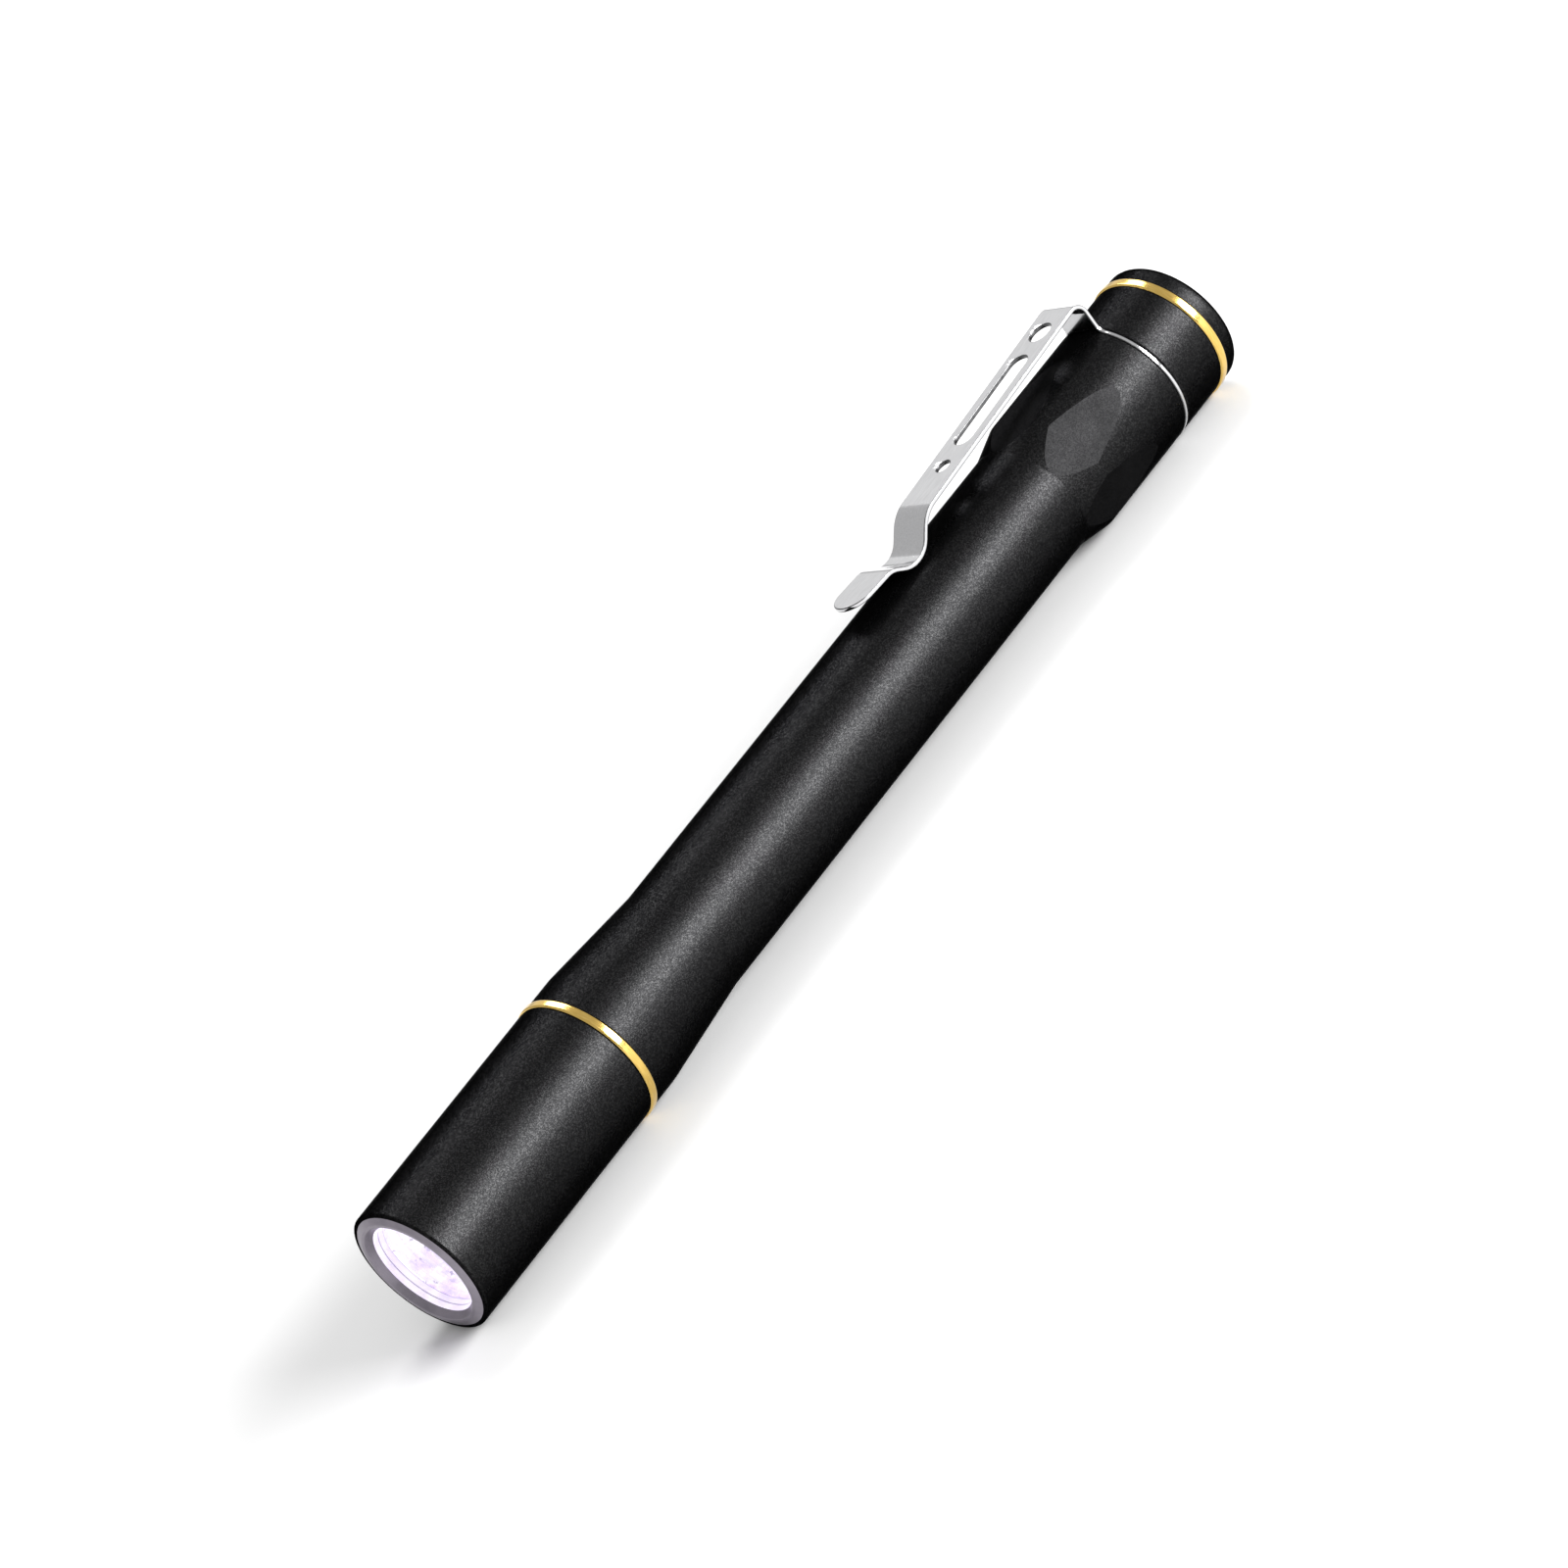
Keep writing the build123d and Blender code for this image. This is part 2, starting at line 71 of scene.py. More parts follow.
TUBE_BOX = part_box("battery_tube")
AXIS_HEIGHT = (TUBE_BOX[0].z + TUBE_BOX[1].z) / 2
HEAD_START, HEAD_END, BODY_RADIUS = span("head_shell")


# ---------------------------------------------------------------------------
# Mesh making
# ---------------------------------------------------------------------------
def link(name, mesh):
    piece = bpy.data.objects.new(name, mesh)
    bpy.context.scene.collection.objects.link(piece)
    return piece


def to_piece(shape, name):
    """Object made from a finished bmesh, with its faces turned outwards."""
    bmesh.ops.recalc_face_normals(shape, faces=shape.faces)
    mesh = bpy.data.meshes.new(name)
    shape.to_mesh(mesh)
    shape.free()
    return link(name, mesh)


def shade(piece, sharp_above=32):
    """Smooth shading, with edges sharper than the angle kept crisp."""
    piece.data.shade_smooth()
    piece.data.set_sharp_from_angle(angle=radians(sharp_above))


def around_axis(x, radius, angle):
    """Place at a distance from the pen's axis, at an angle round it."""
    return (x, radius * cos(angle), AXIS_HEIGHT + radius * sin(angle))


def bridge(shape, ring_a, ring_b):
    """Band of four-sided faces between two closed rings with as many points each."""
    count = len(ring_a)
    for index in range(count):
        follow = (index + 1) % count
        shape.faces.new((ring_a[index], ring_a[follow], ring_b[follow], ring_b[index]))


def corner_arc(before, corner, after, radius, steps):
    """Points of the arc that rounds a corner, evenly spaced from end to end."""
    corner = Vector(corner)
    arm_in = (Vector(before) - corner).normalized()
    arm_out = (Vector(after) - corner).normalized()
    half_turn = arm_in.angle(arm_out) / 2
    reach = radius / tan(half_turn)
    centre = corner + (arm_in + arm_out).normalized() * radius / sin(half_turn)
    first = corner + arm_in * reach - centre
    last = corner + arm_out * reach - centre
    sweep = first.angle_signed(last)
    turns = [Matrix.Rotation(-sweep * step / steps, 2) for step in range(steps + 1)]
    return [centre + turn @ first for turn in turns]


def round_corner(before, corner, after, radius):
    """Rounded corner, with one support point beyond each end of its arc."""
    arc = corner_arc(before, corner, after, radius, ROUND_STEPS)
    corner = Vector(corner)
    lead_in = corner + (arc[0] - corner) * SUPPORT_REACH
    lead_out = corner + (arc[-1] - corner) * SUPPORT_REACH
    return [tuple(point) for point in (lead_in, *arc, lead_out)]


def soften(outline, radii):
    """Outline with the corner of each index in radii rounded by that radius."""
    softened = []
    count = len(outline)
    for index, point in enumerate(outline):
        if index in radii:
            before = outline[index - 1]
            after = outline[(index + 1) % count]
            softened += round_corner(before, point, after, radii[index])
        else:
            softened.append(point)
    return softened


def lathe(name, outline, closed=True):
    """Turn an outline of (x, radius) points about the pen's axis.

    An open outline starts and ends on the axis.
    """
    shape = bmesh.new()
    rings = []
    for x, radius in outline:
        if radius < SMALLEST_RADIUS:
            rings.append([shape.verts.new((x, 0, AXIS_HEIGHT))])
            continue
        angles = [2 * pi * step / LATHE_STEPS for step in range(LATHE_STEPS)]
        rings.append([shape.verts.new(around_axis(x, radius, angle)) for angle in angles])
    pairs = list(zip(rings, rings[1:]))
    if closed:
        pairs.append((rings[-1], rings[0]))
    for ring_a, ring_b in pairs:
        for step in range(LATHE_STEPS):
            follow = (step + 1) % LATHE_STEPS
            corners = [ring_a[step % len(ring_a)], ring_a[follow % len(ring_a)]]
            corners += [ring_b[follow % len(ring_b)], ring_b[step % len(ring_b)]]
            unique = list(dict.fromkeys(corners))
            if len(unique) > 2:
                shape.faces.new(unique)
    piece = to_piece(shape, name)
    shade(piece)
    return piece


def finish_piece(piece, body, material, slot, *nodes):
    piece.data.materials.clear()
    piece.data.materials.append(material)
    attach(piece, body)
    if nodes:
        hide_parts(*nodes)
    return piece


def apply_modifiers(piece):
    graph = bpy.context.evaluated_depsgraph_get()
    mesh = bpy.data.meshes.new_from_object(piece.evaluated_get(graph))
    piece.modifiers.clear()
    piece.data = mesh


def cut(piece, cutters):
    """Take the cutters away from the piece; cut faces keep the cutter's material."""
    for cutter in cutters:
        modifier = piece.modifiers.new("cut", "BOOLEAN")
        modifier.object = cutter
        modifier.operation = "DIFFERENCE"
        modifier.solver = "EXACT"
        modifier.material_mode = "TRANSFER"
    apply_modifiers(piece)
    for cutter in cutters:
        bpy.data.objects.remove(cutter)


def join(pieces):
    """One object from several, with the first one's name."""
    with bpy.context.temp_override(active_object=pieces[0], selected_editable_objects=pieces):
        bpy.ops.object.join()
    return pieces[0]


# ---------------------------------------------------------------------------
# Materials
# ---------------------------------------------------------------------------
class Nodes:
    """Short names for building a node material around one Principled shader."""

    def __init__(self, name):
        self.material = bpy.data.materials.new(name)
        self.material.use_nodes = True
        self.tree = self.material.node_tree
        self.shader = self.tree.nodes["Principled BSDF"]
        self.where = self.tree.nodes.new("ShaderNodeTexCoord").outputs["Object"]

    def add(self, kind, **settings):
        node = self.tree.nodes.new(kind)
        for key, value in settings.items():
            setattr(node, key, value)
        return node

    def wire(self, source, target):
        self.tree.links.new(source, target)

    def noise(self, scale, detail=3.0, vector=None):
        node = self.add("ShaderNodeTexNoise")
        node.inputs["Scale"].default_value = scale
        node.inputs["Detail"].default_value = detail
        node.inputs["Roughness"].default_value = 0.55
        self.wire(vector or self.where, node.inputs["Vector"])
        return node.outputs["Fac"]

    def cells(self, scale):
        node = self.add("ShaderNodeTexVoronoi")
        node.inputs["Scale"].default_value = scale
        self.wire(self.where, node.inputs["Vector"])
        return node

    def stretched(self, x, y, z):
        """Object coordinates scaled by axis; a large factor packs the pattern closer."""
        node = self.add("ShaderNodeMapping")
        node.inputs["Scale"].default_value = (x, y, z)
        self.wire(self.where, node.inputs["Vector"])
        return node.outputs["Vector"]

    def ramp(self, source, low, high, low_value, high_value):
        node = self.add("ShaderNodeMapRange")
        node.inputs["From Min"].default_value = low
        node.inputs["From Max"].default_value = high
        node.inputs["To Min"].default_value = low_value
        node.inputs["To Max"].default_value = high_value
        self.wire(source, node.inputs["Value"])
        return node.outputs["Result"]

    def pick(self, colour):
        """A colour's red channel, as a number."""
        node = self.add("ShaderNodeSeparateColor")
        self.wire(colour, node.inputs["Color"])
        return node.outputs["Red"]

    def tint(self, source, *stops):
        """Colour ramp; each stop is (place, colour)."""
        node = self.add("ShaderNodeValToRGB")
        elements = node.color_ramp.elements
        while len(elements) < len(stops):
            elements.new(0.5)
        for element, (place, colour) in zip(elements, stops):
            element.position = place
            element.color = (*colour, 1)
        self.wire(source, node.inputs["Fac"])
        return node.outputs["Color"]

    def maths(self, operation, first, second=0):
        node = self.add("ShaderNodeMath", operation=operation)
        for socket, value in zip(node.inputs, (first, second)):
            if isinstance(value, (int, float)):
                socket.default_value = value
            else:
                self.wire(value, socket)
        return node.outputs["Value"]

    def colour(self, value):
        self._put("Base Color", (*value, 1) if isinstance(value, tuple) else value)

    def _put(self, socket, value):
        target = self.shader.inputs[socket]
        if isinstance(value, bpy.types.NodeSocket):
            self.wire(value, target)
        else:
            target.default_value = value

    def set(self, **values):
        for key, value in values.items():
            self._put(key.replace("_", " ").title().replace("Ior", "IOR"), value)

    def bump(self, height, distance, strength=1.0, under=None):
        node = self.add("ShaderNodeBump")
        node.inputs["Distance"].default_value = distance
        node.inputs["Strength"].default_value = strength
        self.wire(height, node.inputs["Height"])
        if under is not None:
            self.wire(under, node.inputs["Normal"])
        return node.outputs["Normal"]

    def from_axis(self):
        """Distance from the pen's axis."""
        parts = self.add("ShaderNodeSeparateXYZ")
        self.wire(self.where, parts.inputs["Vector"])
        height = self.maths("SUBTRACT", parts.outputs["Z"], AXIS_HEIGHT)
        squares = self.maths("POWER", height, 2)
        across = self.maths("POWER", parts.outputs["Y"], 2)
        return self.maths("SQRT", self.maths("ADD", squares, across))

    def along(self):
        """Position along the pen's axis."""
        parts = self.add("ShaderNodeSeparateXYZ")
        self.wire(self.where, parts.inputs["Vector"])
        return parts.outputs["X"]


TURNING_LINES = 52000
CELL_LENGTH = 44.5 * MM


def anodised_black():
    """Hard-anodised aluminium: near black, satin, with a fine sparkling grain."""
    m = Nodes("anodised_black")
    grain = m.cells(10500)
    speck = m.pick(grain.outputs["Color"])
    dull = (0.0075, 0.0075, 0.0078)
    body = (0.0125, 0.0125, 0.013)
    bright = (0.026, 0.026, 0.0265)
    m.colour(m.tint(speck, (0.0, dull), (0.55, body), (1.0, bright)))
    m.set(metallic=1.0, specular_tint=(0.06, 0.06, 0.06, 1))
    m.set(roughness=m.ramp(m.noise(220, detail=4), 0.3, 0.7, 0.37, 0.42))
    fine = m.bump(speck, 0.000012, 0.6)
    m.set(normal=m.bump(m.noise(5200, detail=2), 0.000012, 0.4, fine))
    return m.material


def milled_black():
    """The flats: the same coat over a rougher, even cut."""
    m = Nodes("milled_black")
    grain = m.cells(9800)
    speck = m.pick(grain.outputs["Color"])
    m.colour(m.tint(speck, (0.0, (0.01, 0.01, 0.0105)), (1.0, (0.019, 0.019, 0.0195))))
    m.set(metallic=1.0, specular_tint=(0.06, 0.06, 0.06, 1))
    m.set(roughness=m.ramp(m.noise(300, detail=3), 0.3, 0.7, 0.5, 0.6))
    m.set(normal=m.bump(speck, 0.00001, 0.5))
    return m.material


def gold_polish():
    m = Nodes("gold_polish")
    turning = m.noise(900, detail=3, vector=m.stretched(20, 1, 1))
    m.colour(m.tint(turning, (0.35, (0.66, 0.43, 0.1)), (0.65, (0.8, 0.56, 0.17))))
    m.set(metallic=1.0, roughness=m.ramp(turning, 0.2, 0.8, 0.1, 0.2))
    m.set(normal=m.bump(turning, 0.000004, 0.35))
    return m.material


def clip_polish():
    m = Nodes("clip_polish")
    brush = m.noise(380, detail=4, vector=m.stretched(1, 24, 24))
    m.colour(m.tint(brush, (0.3, (0.57, 0.57, 0.58)), (0.7, (0.65, 0.65, 0.66))))
    m.set(metallic=1.0, roughness=m.ramp(brush, 0.25, 0.75, 0.08, 0.15))
    m.set(normal=m.bump(brush, 0.000003, 0.2))
    return m.material


def painted_shade_edge():
    """Walls of the punched holes and the rounded edges of the clip, painted dark: painted shade in
    the holes and painted dark outlines along the edges, on a rougher steel.
    """
    m = Nodes("painted_shade_edge")
    drag = m.noise(900, detail=3, vector=m.stretched(4, 4, 1))
    m.colour(m.tint(drag, (0.3, (0.09, 0.09, 0.092)), (0.7, (0.17, 0.17, 0.173))))
    m.set(metallic=1.0, roughness=m.ramp(drag, 0.3, 0.7, 0.28, 0.4))
    return m.material


def button_polish():
    m = Nodes("button_polish")
    turning = m.noise(2400, detail=2, vector=m.stretched(4, 1, 1))
    m.colour(m.tint(turning, (0.3, (0.56, 0.56, 0.57)), (0.7, (0.64, 0.64, 0.65))))
    m.set(metallic=1.0, roughness=m.ramp(turning, 0.2, 0.8, 0.07, 0.15))
    return m.material


def bezel_grey():
    m = Nodes("bezel_grey")
    lathe_lines = m.maths("SINE", m.maths("MULTIPLY", m.from_axis(), TURNING_LINES))
    cloud = m.noise(700, detail=3)
    m.colour(m.tint(cloud, (0.3, (0.225, 0.205, 0.24)), (0.7, (0.285, 0.26, 0.3))))
    m.set(metallic=1.0, roughness=m.ramp(cloud, 0.3, 0.7, 0.34, 0.46))
    m.set(normal=m.bump(lathe_lines, 0.000004, 0.5))
    return m.material


def lens_glass():
    m = Nodes("lens_glass")
    wipe = m.noise(150, detail=3)
    m.colour((0.97, 0.96, 1.0))
    m.set(roughness=m.ramp(wipe, 0.3, 0.8, 0.0, 0.035), ior=1.46, transmission_weight=1.0)
    return m.material


def glow_gasket():
    """Translucent ring whose glow is painted emission, with a painted dark line round it and a
    painted shadow at the lens.
    """
    m = Nodes("glow_gasket")
    cloud = m.noise(500, detail=3)
    m.colour(m.tint(cloud, (0.3, (0.5, 0.46, 0.6)), (0.7, (0.6, 0.56, 0.7))))
    m.set(roughness=m.ramp(cloud, 0.3, 0.7, 0.3, 0.45))
    # Painted glow: the ring emits light itself, standing in for the lamp's light passing through it.
    glow = m.tint(cloud, (0.35, (0.84, 0.73, 0.98)), (0.6, (1.0, 0.96, 1.0)))
    m.set(emission_color=glow)
    front_side, lens_side = (corner.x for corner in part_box("lens_gasket"))
    # Painted shade: groove is a dark line drawn into the glow partway along the ring, not a cut in
    # it; shadow is a painted shadow where the ring meets the lens.
    line = front_side + 0.45 * (lens_side - front_side)
    from_line = m.maths("ABSOLUTE", m.maths("SUBTRACT", m.along(), line))
    groove = m.ramp(from_line, 0.00003, 0.00009, 0.12, 0.7)
    shadow = m.ramp(m.along(), lens_side - 0.00014, lens_side - 0.00006, 1.0, 0.35)
    m.set(emission_strength=m.maths("MULTIPLY", groove, shadow))
    return m.material


def reflector_coat():
    """Bright textured bowl, with the lamp's lavender light painted on it as emission: glow patches
    and dark spots.
    """
    m = Nodes("reflector_coat")
    peel = m.cells(1300)
    dimple = peel.outputs["Distance"]
    m.colour(m.tint(dimple, (0.0, (0.55, 0.53, 0.6)), (1.0, (0.4, 0.37, 0.48))))
    m.set(metallic=1.0, roughness=m.ramp(dimple, 0, 0.8, 0.1, 0.22))
    m.set(normal=m.bump(dimple, 0.0002, 0.9))
    # Painted light: the bowl's emission paints the lamp's glow in violet, lilac and white patches,
    # with painted dark spots in it.
    painted_glow_patch = m.noise(330, detail=3)
    violet = (0.58, 0.45, 0.74)
    lilac = (0.82, 0.71, 0.95)
    white = (1.0, 0.98, 1.0)
    m.set(emission_color=m.tint(painted_glow_patch, (0.36, violet), (0.45, lilac), (0.54, white)))
    painted_dark_spots = m.noise(2100, detail=2)
    m.set(emission_strength=m.ramp(painted_dark_spots, 0.62, 0.71, 0.8, 0.25))
    return m.material


def led_light():
    m = Nodes("led_light")
    depth = m.noise(1600, detail=1)
    m.colour(m.tint(depth, (0.3, (0.8, 0.76, 0.95)), (0.7, (0.95, 0.93, 1.0))))
    m.set(roughness=m.ramp(depth, 0.3, 0.7, 0.12, 0.25), emission_strength=2.5)
    m.set(emission_color=m.tint(depth, (0.3, (0.72, 0.58, 1.0)), (0.7, (0.9, 0.84, 1.0))))
    return m.material


def plain(name, dark, light, roughness, scale, metallic=0.0):
    """Cloudy two-tone finish for moulded, machined and plated inner pieces."""
    m = Nodes(name)
    cloud = m.noise(scale, detail=4)
    m.colour(m.tint(cloud, (0.3, dark), (0.7, light)))
    m.set(metallic=metallic, roughness=m.ramp(cloud, 0.3, 0.7, roughness * 0.85, roughness * 1.15))
    m.set(normal=m.bump(m.noise(scale * 6, detail=2), 0.000006, 0.5))
    return m.material


def cell_label():
    """Shrink sleeve: dark, with one copper-coloured band."""
    m = Nodes("cell_label")
    place = m.maths("FRACT", m.maths("MULTIPLY", m.along(), 1 / CELL_LENGTH))
    m.colour(m.tint(place, (0.0, (0.02, 0.022, 0.03)), (0.7, (0.45, 0.2, 0.07))))
    m.set(roughness=m.ramp(m.noise(400), 0.3, 0.7, 0.18, 0.3), coat_weight=0.4)
    return m.material


def floor_finish():
    m = Nodes("floor_finish")
    cloud = m.noise(9, detail=2)
    m.colour(m.tint(cloud, (0.3, (0.7, 0.7, 0.7)), (0.7, (0.72, 0.72, 0.72))))
    m.set(roughness=m.ramp(cloud, 0.3, 0.7, 0.75, 0.85), specular_ior_level=0.15)
    return m.material


BLACK = anodised_black()
MILLED = milled_black()
GOLD = gold_polish()
STEEL = clip_polish()
PAINTED_SHADE = painted_shade_edge()


# ---------------------------------------------------------------------------
# Head
# ---------------------------------------------------------------------------
def make_head_shell():
    bore = BODY_RADIUS - 0.8 * MM
    mouth_end, mouth = span("bezel_ring")[1:]
    outline = [
        (HEAD_START, mouth),
        (mouth_end, mouth),
        (mouth_end, bore),
        (HEAD_END, bore),
        (HEAD_END, BODY_RADIUS),
        (HEAD_START + 0.12 * MM, BODY_RADIUS),
        (HEAD_START, mouth + 0.15 * MM),
    ]
    outline = soften(outline, {4: 0.15 * MM, 5: 0.12 * MM, 6: 0.08 * MM})
    piece = lathe("head_shell_turned", outline)
    return finish_piece(piece, "torch", BLACK, "anodised_black", "head_shell")


def make_bezel():
    start, end, radius = span("bezel_ring")
    lip_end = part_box("lens_gasket")[0].x
    seat = span("lens")[2] + 0.05 * MM
    outline = [
        (start, 5.87 * MM),
        (lip_end, 5.33 * MM),
        (lip_end, seat),
        (end, seat),
        (end, radius),
        (HEAD_START, radius),
        (start, 6.2 * MM),
    ]
    outline = soften(outline, {0: 0.12 * MM, 1: 0.05 * MM, 6: 0.2 * MM})
    piece = lathe("bezel_ring_turned", outline)
    return finish_piece(piece, "torch", bezel_grey(), "bezel_grey", "bezel_ring")


def make_gasket():
    start, end, radius = span("lens_gasket")
    inner = 5.3 * MM
    outline = [(start, inner), (end, inner), (end, radius), (start, radius)]
    outline = soften(outline, {0: 0.1 * MM, 1: 0.08 * MM})
    piece = lathe("lens_gasket_moulded", outline)
    return finish_piece(piece, "torch", glow_gasket(), "gasket_silicone", "lens_gasket")


def make_lens():
    start, end, radius = span("lens")
    outline = [(start, 0), (start, radius), (end, radius), (end, 0)]
    middle = soften(outline, {1: 0.12 * MM, 2: 0.12 * MM})
    piece = lathe("lens_disc", middle, closed=False)
    return finish_piece(piece, "torch", lens_glass(), "lens_glass", "lens")


REFLECTOR_ROWS = 30
REFLECTOR_COLUMNS = 96


def make_reflector():
    """Bowl with small pillowed facets inside, a plain back and a flange at the lens."""
    start, end, radius = span("reflector")
    rim = 5.9 * MM
    throat = 1.9 * MM
    wall = 0.45 * MM
    flange_end = start + 0.8 * MM
    facet_depth = 0.07 * MM
    angles = [2 * pi * column / REFLECTOR_COLUMNS for column in range(REFLECTOR_COLUMNS)]
    shape = bmesh.new()

    def bowl(share):
        return sqrt(rim**2 + share * (throat**2 - rim**2))

    rings = []
    for row in range(REFLECTOR_ROWS + 1):
        share = row / REFLECTOR_ROWS
        x = start + (end - start) * share
        edge = min(1.0, row / 3, (REFLECTOR_ROWS - row) / 3)
        ring = []
        for column, angle in enumerate(angles):
            pillow = abs(sin(pi * row / 3)) * abs(sin(pi * column / 4))
            turned = bowl(share) + facet_depth * pillow * edge
            ring.append(shape.verts.new(around_axis(x, turned, angle)))
        rings.append(ring)
    for x, turned in (
        (end, throat + wall),
        ((end + flange_end) / 2, bowl(0.5) + wall),
        (flange_end, bowl(0.08) + wall),
        (flange_end, radius),
        (start, radius),
    ):
        rings.append([shape.verts.new(around_axis(x, turned, angle)) for angle in angles])
    for ring_a, ring_b in zip(rings, rings[1:] + rings[:1]):
        bridge(shape, ring_a, ring_b)
    piece = to_piece(shape, "reflector_bowl")
    shade(piece, 50)
    return finish_piece(piece, "torch", reflector_coat(), "reflector_coat", "reflector")


def make_trim(name, node, body):
    start, end, outside = span(node)
    radius = outside - 0.004 * MM
    inner = radius - 0.9 * MM
    outline = [(start, inner), (end, inner), (end, radius), (start, radius)]
    outline = soften(outline, {2: 0.22 * MM, 3: 0.22 * MM})
    piece = lathe(name, outline)
    return finish_piece(piece, body, GOLD, "gold_trim", node)


# ---------------------------------------------------------------------------
# Tube
# ---------------------------------------------------------------------------
FRONT_SHOULDER = 3.45 * MM
FRONT_TAPER_END = 15.0 * MM
REAR_TAPER_START = 16.5 * MM
REAR_TAPER_END = 12.6 * MM
FLAT_POINT = 5.0 * MM
FLAT_START = 16.55 * MM
FLAT_SLOPE = radians(4.7)
FLAT_COUNT = 6
WAIST_RADIUS = 6.33 * MM
THREAD_PITCH = 0.75 * MM


def helical_ridge(name, start, turns, root, crest, phase=0.0):
    """Right-handed thread ridge that fades in and out at its ends."""
    base_half = 0.26 * MM
    top_half = 0.07 * MM
    steps_per_turn = 72
    sink = 0.03 * MM if crest > root else -0.03 * MM
    shape = bmesh.new()
    rows = []
    for step in range(int(turns * steps_per_turn) + 1):
        turn = step / steps_per_turn
        fade = min(1.0, 3 * turn, 3 * (turns - turn))
        angle = 2 * pi * (turn + phase)
        x = start + THREAD_PITCH * turn
        top = root + (crest - root) * fade
        section = (
            (-base_half, root - sink),
            (-top_half, top),
            (top_half, top),
            (base_half, root - sink),
        )
        row = [shape.verts.new(around_axis(x + offset, radius, angle)) for offset, radius in section]
        rows.append(row)
    for row_a, row_b in zip(rows, rows[1:]):
        bridge(shape, row_a, row_b)
    shape.faces.new(rows[0])
    shape.faces.new(rows[-1][::-1])
    piece = to_piece(shape, name)
    piece.data.materials.append(BLACK)
    shade(piece, 25)
    return piece


def flat_cutter(index, tube_end):
    """Block whose underside is the plane of one milled flat."""
    length = (FLAT_START - FLAT_POINT) / cos(FLAT_SLOPE)
    width = 12 * MM
    height = 4 * MM
    shape = bmesh.new()
    bmesh.ops.create_cube(shape, size=1.0)
    cutter = to_piece(shape, "flat_cutter")
    cutter.data.materials.append(MILLED)
    size = Matrix.Diagonal((length, width, height, 1))
    corner = Matrix.Translation((-length / 2, 0, height / 2))
    tilt = Matrix.Rotation(-FLAT_SLOPE, 4, "Y")
    lift = Matrix.Translation((tube_end - FLAT_POINT, 0, BODY_RADIUS))
    turn = Matrix.Rotation(2 * pi * index / FLAT_COUNT, 4, "X")
    raise_axis = Matrix.Translation((0, 0, AXIS_HEIGHT))
    cutter.data.transform(raise_axis @ turn @ lift @ tilt @ corner @ size)
    return cutter


def mark_material_borders(piece):
    """Keep the edge between two materials crisp."""
    shape = bmesh.new()
    shape.from_mesh(piece.data)
    for edge in shape.edges:
        kinds = {face.material_index for face in edge.link_faces}
        if len(kinds) > 1:
            edge.smooth = False
    shape.to_mesh(piece.data)
    shape.free()


def make_tube():
    """Tube with a waist, six milled flats and an inner thread at its mouth."""
    start, end, radius = span("battery_tube")
    shoulder = span("front_trim_ring")[1]
    neck = radius - 0.8 * MM
    bay = 5.35 * MM
    mouth = 6.45 * MM
    mouth_start = end - 5.5 * MM
    outline = [
        (start, bay),
        (mouth_start, bay),
        (mouth_start, mouth),
        (end, mouth),
        (end, radius),
        (end - REAR_TAPER_END, radius),
        (end - REAR_TAPER_START, WAIST_RADIUS),
        (shoulder + FRONT_TAPER_END, WAIST_RADIUS),
        (shoulder + FRONT_SHOULDER, radius),
        (shoulder, radius),
        (shoulder, neck),
        (start, neck),
    ]
    radii = {
        3: 0.2 * MM,
        4: 0.12 * MM,
        5: 1.2 * MM,
        6: 1.0 * MM,
        7: 6 * MM,
        8: 6 * MM,
        9: 0.12 * MM,
    }
    piece = lathe("battery_tube_turned", soften(outline, radii))
    piece.data.materials.append(BLACK)
    cut(piece, [flat_cutter(index, end) for index in range(FLAT_COUNT)])
    shade(piece)
    mark_material_borders(piece)
    thread = helical_ridge("tube_thread", end - 5.0 * MM, 6, mouth, 6.1 * MM, 0.5)
    join([piece, thread])
    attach(piece, "torch")
    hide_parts("battery_tube")
    return piece


# ---------------------------------------------------------------------------
# Clip
# ---------------------------------------------------------------------------
# Heights are above the axis, and places along X are from the tube's end.
CLIP_TOP = 10.677 * MM
CLIP_KNEE = (-28.4 * MM, 9.28 * MM)
CLIP_FOOT = (-32.1 * MM, 5.78 * MM)
CLIP_LIFT = (-35.4 * MM, 8.2 * MM)
CLIP_TIP_HEIGHT = 8.55 * MM
CLIP_BENDS = {1: 1.3 * MM, 2: 4.0 * MM, 3: 3.0 * MM, 4: 2.5 * MM}
BEND_STEP = 5
LONGEST_RUN = 0.6 * MM
TIP_STEPS = 9
TIP_END_HALF_WIDTH = 0.2 * MM
CLIP_RING_BORE = 6.48 * MM
CLIP_RING_FILLET = 1.0 * MM
CLIP_EDGE_ROUND = 0.1 * MM
# Round hole, long slot and small hole: first and last centre, and radius
CLIP_HOLES = (
    (-4.0 * MM, -4.0 * MM, 1.25 * MM),
    (-18.15 * MM, -8.35 * MM, 1.2 * MM),
    (-22.25 * MM, -22.25 * MM, 0.8 * MM),
)


